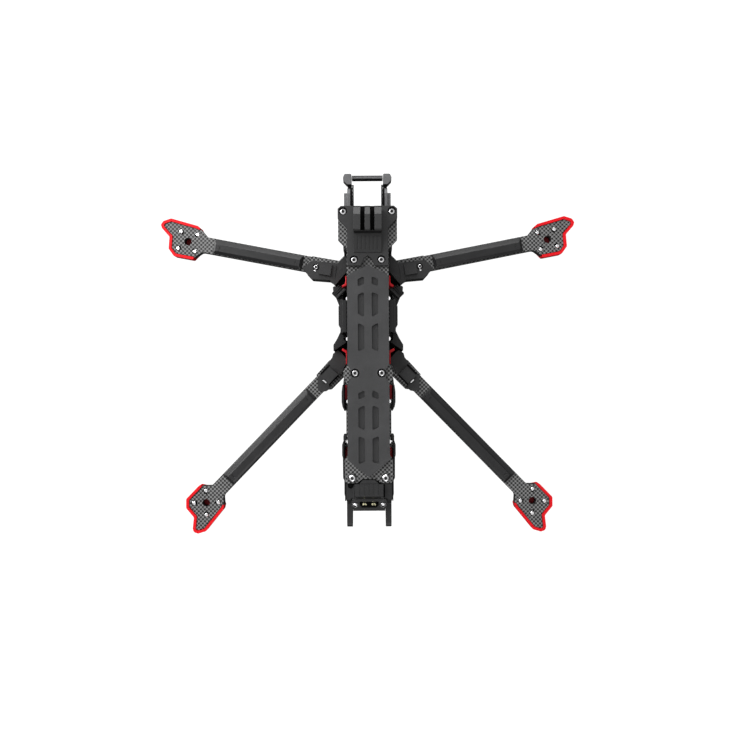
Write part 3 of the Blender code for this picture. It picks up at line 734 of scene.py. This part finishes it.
def build_front_clamp(side, sign):
    """Clamp with a screw in a round well, a pin in a short slot and a seam."""
    node = "arm_clamp_front_" + side
    x, y = FRONT_SCREW[0] * sign, FRONT_SCREW[1]
    well = placed(turned([(FRONT_WELL, CLAMP_TOP - 1.2), (FRONT_WELL, CLAMP_TOP + PAST)]), x, y)
    slot = prism(on_side(FRONT_PIN_WELL, sign), CLAMP_TOP - 1.0, CLAMP_TOP + PAST)
    seam = prism(on_side(FRONT_SEAM, sign), CLAMP_TOP - 0.5, CLAMP_TOP + 1)
    body = carved(copied(node), [well, slot, seam])
    show("front_clamp_" + side, softened(body, 0.55), "nylon", [node])
    head = socket_screw(1.75, top=CLAMP_TOP + 0.7, seat=CLAMP_TOP - 1.15, tip=CLAMP_TOP - 2.0,
                        shank=1.2, hex_half=0.85, dome=0.5)
    show("front_clamp_screw_" + side, placed(head, x, y), "steel")
    pin = prism(on_side(FRONT_PIN, sign), CLAMP_TOP - 1.1, CLAMP_TOP - 0.1)
    show("front_clamp_pin_" + side, softened(pin, 0.15), "steel")


REAR_PIN = rounded(strip((31.45, -8.75), (33.95, -6.45), 1.1), 0.5)
REAR_PIN_WELL = rounded(strip((31.4, -8.9), (34.0, -6.3), 2.2), 0.9)
# Black lines of painted shade beside the rear clamp's block, outside and inside
REAR_GAP = strip((28.9, 4.7), (35.9, -2.3), 1.3)
REAR_WALL_SHADE = strip((22.6, -3.2), (29.3, -9.9), 0.9)


def build_rear_clamp(side, sign):
    """Clamp with a long pin in a slot and a black line of painted shade on both sides of its block.
    """
    node = "arm_clamp_rear_" + side
    well = prism(on_side(REAR_PIN_WELL, sign), CLAMP_TOP - 1.2, CLAMP_TOP + PAST)
    gap = prism(on_side(REAR_GAP, sign), CLAMP_TOP - 0.7, CLAMP_TOP + PAST)
    body = carved(copied(node), [well, gap])
    show("rear_clamp_" + side, softened(body, 0.4), "nylon", [node])
    # A black floor in the gap and a black wall outside the block: painted shade
    floors = [prism(on_side(REAR_GAP, sign), CLAMP_TOP - 0.75, CLAMP_TOP - 0.25),
              prism(on_side(REAR_WALL_SHADE, sign), MID_TOP + 0.1, CLAMP_TOP + 0.4)]
    show("rear_clamp_gap_shade_" + side, joined(floors), "painted_shade")
    pin = prism(on_side(REAR_PIN, sign), CLAMP_TOP - 1.1, CLAMP_TOP + 0.2)
    show("rear_clamp_pin_" + side, softened(pin, 0.2), "steel")


# ------------------------------------------------------------------- plates

SCREW_PLACES = {
    "nose": (17.3, 113.3), "front": (9.7, 79.0), "middle": (9.5, -1.4), "tail": (11.9, -76.0),
}
TOP_SCREW = 2.65
WASHER = 0.3
# Spacer: its radius, the bottom of its grooves, their pitch and the plain ends
SPACER = 2.5
SPACER_GROOVE = 2.22
GROOVE_PITCH = 1.5
SPACER_PLAIN = (3.0, 4.2)
SPACER_CREASE = 28.0


def build_plates():
    for plate in ("bottom_plate", "mid_plate", "top_plate"):
        show("carbon_" + plate, softened(copied(plate), 0.2, segments=1), "carbon", [plate])


def grooved_spacer(low, high):
    """Round spacer with grooves between its plain ends."""
    height = low + SPACER_PLAIN[0]
    profile = [(SPACER, low), (SPACER, height)]
    while height < high - SPACER_PLAIN[1]:
        profile += [(SPACER_GROOVE, height + 0.15), (SPACER_GROOVE, height + 0.75),
                    (SPACER, height + 0.9), (SPACER, height + GROOVE_PITCH)]
        height += GROOVE_PITCH
    return turned(profile + [(SPACER, high)])


def build_fasteners():
    """Top screws with washers, grooved spacers and the nose screws under the middle plate."""
    seat = TOP_FACE + WASHER
    for row, (px, y) in SCREW_PLACES.items():
        for side, sign in SIDES:
            x = sign * px
            screw = socket_screw(TOP_SCREW, top=seat + 1.65, seat=seat, tip=seat - 8.2,
                                 shank=1.35, hex_half=1.05)
            show(f"screw_{row}_{side}", placed(screw, x, y), "steel", [f"top_screw_{row}_{side}"])
            ring = turned([(2.95, TOP_FACE + 0.02), (3.05, TOP_FACE + 0.12), (2.9, seat - 0.02)])
            show(f"washer_{row}_{side}", placed(ring, x, y), "blackened")
            spacer = grooved_spacer(*heights(f"standoff_{row}_{side}"))
            show(f"spacer_{row}_{side}", placed(spacer, x, y), "spacer",
                 [f"standoff_{row}_{side}"], SPACER_CREASE)
            if row == "nose":
                under = socket_screw(2.6, top=1.6, seat=0.0, tip=-1.0, shank=1.3, hex_half=1.05)
                under = placed(upside_down(under), x, y, MID_LOW - 0.05)
                show(f"lower_screw_{row}_{side}", under, "steel")


# Root bolts: X of a front arm's two, and distances of a rear arm's two from its motor
FRONT_ROOT_X = (13.0, 38.8)
REAR_ROOT_REACH = (157.0, 126.0)


def root_bolts(end):
    """Places of the two bolts in an arm's root."""
    if end.startswith("front"):
        lean = math.cos(FRONT_SLOPE)
        distances = [(FRONT_MOTOR[0] - x) / lean for x in FRONT_ROOT_X]
    else:
        distances = REAR_ROOT_REACH
    return on_arm(end, [(-distance, 0) for distance in distances])


def build_root_bolts():
    for end in ENDS:
        for index, (x, y) in enumerate(root_bolts(end)):
            head = socket_screw(2.7, top=1.65, seat=0.0, tip=-6.0, shank=1.4, hex_half=1.1)
            head = placed(upside_down(head), x, y, BOTTOM_FACE - 0.05)
            show(f"root_bolt_{end}_{index}", head, "steel")


# ------------------------------------------------------------- battery pad

# Recess: side edges at two half widths, then the front and rear ends on each of them
RECESS_X = (2.7, 7.2)
RECESSES = (
    ((67.3, 61.7), (65.1, 60.0)), ((56.1, 38.2), (54.2, 40.7)), ((31.9, 15.9), (34.3, 13.8)),
    ((-13.5, -18.4), (-15.6, -20.2)), ((-24.1, -42.1), (-26.2, -39.7)),
    ((-47.8, -64.4), (-46.0, -65.9)),
)
RECESS_DEPTH = 1.1
PAD_CREASE = 12.0


def build_battery_pad():
    """Silicone sheet with six slanted recesses on each side of its middle."""
    cuts = []
    for inner, outer in RECESSES:
        outline = [(RECESS_X[0], inner[0]), (RECESS_X[1], outer[0]), (RECESS_X[1], outer[1]),
                   (RECESS_X[0], inner[1])]
        for _, sign in SIDES:
            wide = rounded(on_side(outline, sign), 1.1)
            cuts.append(prism(wide, PAD_TOP - RECESS_DEPTH, PAD_TOP + 1))
    pad = carved(copied("battery_pad"), cuts)
    item = show("silicone_pad", softened(pad, 0.35), "pad", ["battery_pad"], PAD_CREASE)


# ------------------------------------------------------------- camera mount

# Side views in (y, z): a groove down the ramp, and what the slanted finger noses lose
RAMP_GROOVE = [(86.0, 44.1), (95.2, 46.7), (95.2, 60.0), (86.0, 60.0)]
GROOVE_PLACES = (-7.0, -4.2, -1.4, 1.4, 4.2, 7.0)
GROOVE_HALF = 0.35
FINGER_NOSE = [(108.4, 54.1), (120.0, 54.1), (120.0, 46.0)]
MOUNT_REACH = 12.0
MOUNT_BASE = 42.5
FINGER_GAP_X = 3.375
FINGER_GAP = box_outline(-1.45, 97.6, 1.45, 116.8)


def build_camera_mount():
    """Three fingers with slanted noses on a ramp with six grooves."""
    mount = copied("camera_mount")
    cuts = [sideways(prism(RAMP_GROOVE, x - GROOVE_HALF, x + GROOVE_HALF)) for x in GROOVE_PLACES]
    nose = sideways(prism(FINGER_NOSE, -MOUNT_REACH, MOUNT_REACH))
    mount = carved(carved(mount, cuts), [nose])
    show("action_camera_mount", softened(mount, 0.35), "tpu", ["camera_mount"])
    # Black sheets on the floors between the fingers: painted shade
    liners = [placed(prism(FINGER_GAP, MOUNT_BASE + 0.02, MOUNT_BASE + 0.3), x, 0)
              for x in (-FINGER_GAP_X, FINGER_GAP_X)]
    show("finger_gap_shade", joined(liners), "painted_shade")


# ---------------------------------------------------------------- nose cage

CAGE_SCREW = (14.5, 102.5, 31.5)
# Side views in (y, z): a black strip on the plate's inner edge and a black sheet inside it, both
# painted shade, and the eye through both
CAGE_EDGE_SHADE = [(117.2, 35.6), (127.0, 35.6), (131.2, 31.6), (132.25, 33.1), (127.6, 37.45),
             (117.2, 37.45)]
CAGE_INNER_SHADE = [(117.2, 14.3), (126.4, 14.3), (132.1, 19.6), (132.1, 33.2), (129.4, 35.7),
               (117.2, 35.7)]
CAGE_EYE = circle(123.4, 25.5, 3.2)
# Black block in the gap between nose cap and side plate: painted shade
CAGE_GAP_SHADE = box_outline(11.8, 131.9, 14.2, 135.0)
GAP_SHADE_HEIGHTS = (30.0, 32.6)


def side_view(outline, sign, near, far):
    """Solid from a side view, from near to far of the middle on one side."""
    return sideways(prism(outline, *sorted((sign * near, sign * far))))


def build_cross_bar():
    """Bar between the nose caps, with a groove on top and a black sheet behind it as painted shade.
    """
    low, high = node_box("nose_bar")
    groove = [(high.y - 1.5, high.z - 0.3), (high.y - 0.8, high.z - 0.3),
              (high.y - 0.8, high.z + 1), (high.y - 1.5, high.z + 1)]
    bar = carved(copied("nose_bar"), [sideways(prism(groove, low.x + 0.6, high.x - 0.6))])
    show("cross_bar", softened(bar, 0.2), "grey", ["nose_bar"])
    # Black sheet behind the bar: painted shade
    bar_shade = [(low.y - 0.15, low.z + 0.8), (low.y + 0.75, low.z + 0.8),
            (low.y + 0.75, high.z + 0.06), (low.y - 0.15, high.z - 0.4)]
    show("cross_bar_shade", sideways(prism(bar_shade, low.x + 0.2, high.x - 0.2)), "painted_shade")


def build_nose_cage():
    for side, sign in SIDES:
        show("camera_side_plate_" + side, softened(copied("camera_plate_" + side), 0.3), "grey",
             ["camera_plate_" + side])
        show("nose_cap_" + side, softened(copied("nose_bumper_" + side), 0.25), "grey",
             ["nose_bumper_" + side])
        screw = socket_screw(2.3, top=1.3, seat=0.0, tip=-1.0, shank=1.2, hex_half=0.9)
        screw.transform(Matrix.Rotation(math.radians(90 * sign), 4, "Y"))
        x, y, z = CAGE_SCREW
        show("cage_screw_" + side, placed(screw, x * sign, y, z), "blackened")
    build_cross_bar()
    for side, sign in SIDES:
        # Black strip on each plate's inner edge and black sheet over its inner face: painted shade
        eye = side_view(CAGE_EYE, sign, 10.5, 12.0)
        sheet = carved(side_view(CAGE_INNER_SHADE, sign, 11.05, 11.38), [eye])
        trim = joined([side_view(CAGE_EDGE_SHADE, sign, 11.05, 12.3), sheet])
        show("cage_inner_shade_" + side, trim, "painted_shade")
        show("cage_gap_shade_" + side, prism(on_side(CAGE_GAP_SHADE, sign), *GAP_SHADE_HEIGHTS), "painted_shade")


# -------------------------------------------------------------- side panels

BAY_FLOORS = {
    "front": [(13.0, 77.0), (30.0, 77.0), (30.0, 50.0), (13.0, 50.0)],
    "rear": [(13.0, 27.0), (20.0, 24.0), (30.0, 16.0), (22.0, 7.5), (13.0, 6.0)],
}
BAY_SHADE_HEIGHTS = (0.02, 0.45)
# Slanted ledge beside the front grommet, and the ribs that step down outside it
FLARE = ((16.2, 60.0), (22.6, 53.6))
FLARE_WIDTH = 1.7
FLARE_OUT = Vector((0.7071, 0.7071))
FLARE_LOW = MID_TOP + 0.5
FLARE_TOP = 31.0
RIB_WIDTH = 0.7
RIB_PITCH = 1.25
RIB_TOP = 27.4
RIB_DROP = 1.1
STRAP_HOOK = box_outline(16.2, -49.8, 18.2, -45.8)
HOOK_LOW = 26.0
NOSE_WALL = [(15.2, 86.0), (17.4, 86.4), (17.6, 92.6), (15.2, 94.8)]
INSERTS = (box_outline(15.5, -20.6, 17.2, -10.4), box_outline(15.5, -64.6, 17.2, -57.4))
INSERT_HEIGHTS = (14.2, 30.0)


def build_bay_shade():
    """Thin black sheet on the middle plate where the open bays show it: painted shade."""
    middle = (MID_LOW + MID_TOP) / 2
    low, high = BAY_SHADE_HEIGHTS
    for bay, outline in BAY_FLOORS.items():
        for side, sign in SIDES:
            region = prism(on_side(outline, sign), MID_LOW - 1, MID_TOP + 1)
            liner = carved(copied("mid_plate"), [region], "INTERSECT")
            for vert in liner.verts:
                vert.co.z = MID_TOP + (high if vert.co.z > middle else low)
            show(f"bay_shade_sheet_{bay}_{side}", liner, "painted_shade")


def flare_ribs(sign):
    ribs = []
    for step in range(4):
        shift = FLARE_OUT * (FLARE_WIDTH + RIB_PITCH * step)
        start = Vector(FLARE[0]) + shift * 0.9 + Vector((0.6, 0)) * step
        end = Vector(FLARE[1]) + shift
        rib = on_side(strip(tuple(start), tuple(end), RIB_WIDTH), sign)
        ribs.append(prism(rib, FLARE_LOW, RIB_TOP - RIB_DROP * step))
    return joined(ribs)


def build_side_panels():
    build_bay_shade()
    for side, sign in SIDES:
        node = "side_panel_" + side
        show("bay_panel_" + side, softened(copied(node), 0.4), "panel", [node])
        ledge = prism(on_side(strip(*FLARE, FLARE_WIDTH), sign), FLARE_LOW, FLARE_TOP)
        show("panel_flare_" + side, softened(ledge, 0.35), "cover")
        show("panel_ribs_" + side, flare_ribs(sign), "panel")
        for prefix in ("mid_side_panel_", "rear_side_panel_"):
            show(prefix.replace("_panel_", "_guard_") + side, softened(copied(prefix + side), 0.35),
                 "panel", [prefix + side])
        for row in ("front", "rear"):
            node = f"wire_grommet_{row}_{side}"
            show(f"grommet_{row}_{side}", softened(copied(node), 0.35), "grommet", [node])
        hook = prism(on_side(rounded(STRAP_HOOK, 0.6), sign), HOOK_LOW, BAY_TOP)
        show("strap_hook_" + side, softened(hook, 0.3), "panel")
        wall = prism(on_side(NOSE_WALL, sign), MID_TOP + 0.05, BAY_TOP)
        show("nose_side_wall_" + side, softened(wall, 0.3), "panel")
        inserts = [softened(prism(on_side(rounded(outline, 0.5), sign), *INSERT_HEIGHTS), 0.3)
                   for outline in INSERTS]
        show("side_inserts_" + side, joined(inserts), "dark_red")


# --------------------------------------------------------------------- tail

TAIL_SLANT = math.radians(42.0)
SOCKET_CENTRE = (0.0, -96.1, 34.2)
CONTACT_X = 3.3
CONTACT_RISE = 0.45
# Height along the contact's axis after its radius: outer wall, lip and inner wall
CONTACT_WALLS = [(1.5, -10.6), (1.5, 0.75), (1.3, 0.95), (0.75, 0.95), (0.7, 0.7), (0.7, -7.5)]
SOCKET_SCREW_X = 10.0
# Socket mouth on the slanted face: a black plate and a second one that stands on it, painted shade
# in the opening
MOUTH_SHADE = rounded(box_outline(-5.9, -2.5, 5.9, 2.2), 0.9)
MOUTH_SHADE_STEP = rounded(box_outline(-5.7, -2.3, 5.7, 0.0), 0.6)
# Vent and bead on the left, groove on the right, and fine lines across the housing's top; the vent
# and groove floors are black as painted shade
TAIL_VENT = [(-15.4, -80.5), (-10.6, -80.3), (-11.2, -82.8), (-12.9, -84.3), (-14.9, -83.1)]
VENT_FLOOR = 37.0
# The bead is lighter nylon: a painted highlight on the raised middle's lit left edge
TAIL_BEAD = box_outline(-11.2, -92.2, -10.7, -84.0)
BEAD_HEIGHTS = (37.9, 38.35)
TAIL_GROOVE = box_outline(10.2, -92.4, 11.3, -80.9)
GROOVE_FLOOR = 36.5
TAIL_LINES = (-6.6, -3.3, 0.0, 3.3, 6.6)
TAIL_LINE = box_outline(-0.22, -88.0, 0.22, -80.4)


def on_slope(mesh, x=0.0):
    """Move a solid built about z = 0 to the slanted tail face."""
    cx, cy, cz = SOCKET_CENTRE
    mesh.transform(Matrix.Translation((cx + x, cy, cz)) @ Matrix.Rotation(TAIL_SLANT, 4, "X"))
    return mesh


def split_contact():
    """Hollow contact with a slit across its open end."""
    slit = prism(box_outline(-0.22, -2.5, 0.22, 2.5), -6.0, 2.0)
    return carved(turned(CONTACT_WALLS, 32), [slit])


def build_tail_housing():
    _, top = heights("rear_housing")
    # Black floors in the vent and the groove: painted shade
    floor_shade = [prism(TAIL_VENT, VENT_FLOOR - 0.1, VENT_FLOOR + 0.2),
             prism(TAIL_GROOVE, GROOVE_FLOOR - 0.1, GROOVE_FLOOR + 0.3)]
    show("tail_vent_shade", joined(floor_shade), "painted_shade")
    # Lighter nylon bead: painted highlight
    show("tail_bead", softened(prism(TAIL_BEAD, *BEAD_HEIGHTS), 0.12), "painted_light")
    cuts = [prism(TAIL_VENT, VENT_FLOOR, top + 1), prism(TAIL_GROOVE, GROOVE_FLOOR, top)]
    cuts += [placed(prism(TAIL_LINE, top - 0.3, top + 1), x, 0) for x in TAIL_LINES]
    housing = carved(copied("rear_housing"), cuts)
    show("tail_housing", softened(housing, 0.3), "tail", ["rear_housing"])


def build_tail():
    build_tail_housing()
    # The socket is its own moulding; its lighter nylon is painted light on its rear-facing slant
    show("power_socket", softened(copied("power_connector"), 0.3), "painted_light", ["power_connector"])
    # Black plates in the socket's opening: painted shade
    mouth = joined([prism(MOUTH_SHADE, -0.2, 0.3), prism(MOUTH_SHADE_STEP, 0.2, 1.15)])
    show("socket_mouth_shade", on_slope(mouth), "painted_shade")
    for side, sign in SIDES:
        contact = on_slope(placed(split_contact(), 0, CONTACT_RISE), sign * CONTACT_X)
        show("socket_contact_" + side, contact, "brass", ["power_contact_" + side])
        screw = socket_screw(2.3, top=1.75, seat=0.3, tip=-2.2, shank=1.15, hex_half=0.85,
                             dome=0.8)
        show("socket_screw_" + side, on_slope(screw, sign * SOCKET_SCREW_X), "steel",
             ["connector_screw_" + side])
        lug = copied("antenna_lug_" + side)
        show("tail_lug_" + side, softened(lug, 0.5), "tail", ["antenna_lug_" + side])


# -------------------------------------------------------------------- stage

# The camera, in metres and degrees, but CAMERA_AHEAD in plan millimetres
CAMERA_HEIGHT = 0.480
CAMERA_SIDE = 0.0016
CAMERA_AHEAD = 0.7
CAMERA_ROLL = -0.35
SENSOR = 36.0
FOCAL_LENGTH = 30.06
LENS_SHIFT = (-0.00084, 0.0002)

FLOOR_REACH = 3.0
FLOOR_DROP = 0.0004
FLOOR_BOUNCE = 0.10
SKY = 0.85
# Height on the sky's unit sphere and the grey there, from near the horizon to the zenith
SKY_STOPS = ((0.30, 0.03), (1.0, 1.0))
# Name, place in metres, size and power; each one looks at the origin
LIGHTS = (
    ("key", (-0.72, 0.62, 1.05), 0.5, 8.5),
    ("rim", (-1.05, 0.45, 0.38), 0.5, 17.0),
    ("front", (0.0, 1.25, 0.42), 0.45, 15.0),
    ("tail", (0.15, -1.0, 0.75), 0.6, 5.0),
)


def build_floor():
    """Pale floor that glows only where the camera sees it, so it doesn't light the object."""
    floor = bpy.data.meshes.new("floor")
    floor.from_pydata([(x, y, 0) for x, y in box_outline(-FLOOR_REACH, -FLOOR_REACH,
                                                         FLOOR_REACH, FLOOR_REACH)],
                      [], [(0, 1, 2, 3)])
    item = bpy.data.objects.new("floor", floor)
    item.location.z = CAD_BOX[0].z - FLOOR_DROP
    bpy.context.scene.collection.objects.link(item)
    material = bpy.data.materials.new("pale_floor")
    material.use_nodes = True
    nodes, links = material.node_tree.nodes, material.node_tree.links
    shader = nodes["Principled BSDF"]
    shader.inputs["Base Color"].default_value = (FLOOR_BOUNCE,) * 3 + (1,)
    shader.inputs["Roughness"].default_value = 0.9
    shader.inputs["Specular IOR Level"].default_value = 0.0
    shader.inputs["Emission Color"].default_value = (1, 1, 1, 1)
    seen = nodes.new("ShaderNodeLightPath").outputs["Is Camera Ray"]
    links.new(seen, shader.inputs["Emission Strength"])
    floor.materials.append(material)


def build_sky():
    """Soft sky that fades to dark at the horizon, and is white where the camera sees it."""
    world = bpy.data.worlds.new("studio")
    bpy.context.scene.world = world
    world.use_nodes = True
    nodes, links = world.node_tree.nodes, world.node_tree.links
    sky = nodes["Background"]
    split = nodes.new("ShaderNodeSeparateXYZ")
    links.new(nodes.new("ShaderNodeTexCoord").outputs["Generated"], split.inputs[0])
    rise = nodes.new("ShaderNodeValToRGB")
    links.new(split.outputs[2], rise.inputs["Fac"])
    for element, (height, level) in zip(rise.color_ramp.elements, SKY_STOPS):
        element.position = height
        element.color = (level, level, level, 1)
    links.new(rise.outputs["Color"], sky.inputs["Color"])
    sky.inputs["Strength"].default_value = SKY
    seen = nodes.new("ShaderNodeBackground")
    seen.inputs["Color"].default_value = (1, 1, 1, 1)
    seen.inputs["Strength"].default_value = 1.0
    mix = nodes.new("ShaderNodeMixShader")
    links.new(nodes.new("ShaderNodeLightPath").outputs["Is Camera Ray"], mix.inputs["Fac"])
    links.new(sky.outputs[0], mix.inputs[1])
    links.new(seen.outputs[0], mix.inputs[2])
    links.new(mix.outputs[0], nodes["World Output"].inputs["Surface"])


def build_lights():
    for name, spot, size, power in LIGHTS:
        light = bpy.data.lights.new(name, "AREA")
        light.size = size
        light.energy = power
        lamp = bpy.data.objects.new(name, light)
        lamp.location = spot
        lamp.rotation_euler = (-Vector(spot)).to_track_quat("-Z", "Y").to_euler()
        bpy.context.scene.collection.objects.link(lamp)


def build_camera():
    bpy.context.scene.view_settings.view_transform = "Standard"
    lens = bpy.data.cameras.new("camera")
    lens.sensor_width = SENSOR
    lens.lens = FOCAL_LENGTH
    lens.shift_x, lens.shift_y = LENS_SHIFT
    camera = bpy.data.objects.new("camera", lens)
    middle = TO_WORLD @ Vector((0, CAMERA_AHEAD, 0))
    camera.location = (CAMERA_SIDE, middle.y, CAMERA_HEIGHT)
    camera.rotation_euler = (0, 0, math.radians(CAMERA_ROLL))
    bpy.context.scene.collection.objects.link(camera)
    bpy.context.scene.camera = camera


build_motor_ends()
build_arm_covers()
build_clamps()
build_plates()
build_fasteners()
build_root_bolts()
build_battery_pad()
build_camera_mount()
build_nose_cage()
build_side_panels()
build_tail()
build_floor()
build_sky()
build_lights()
build_camera()
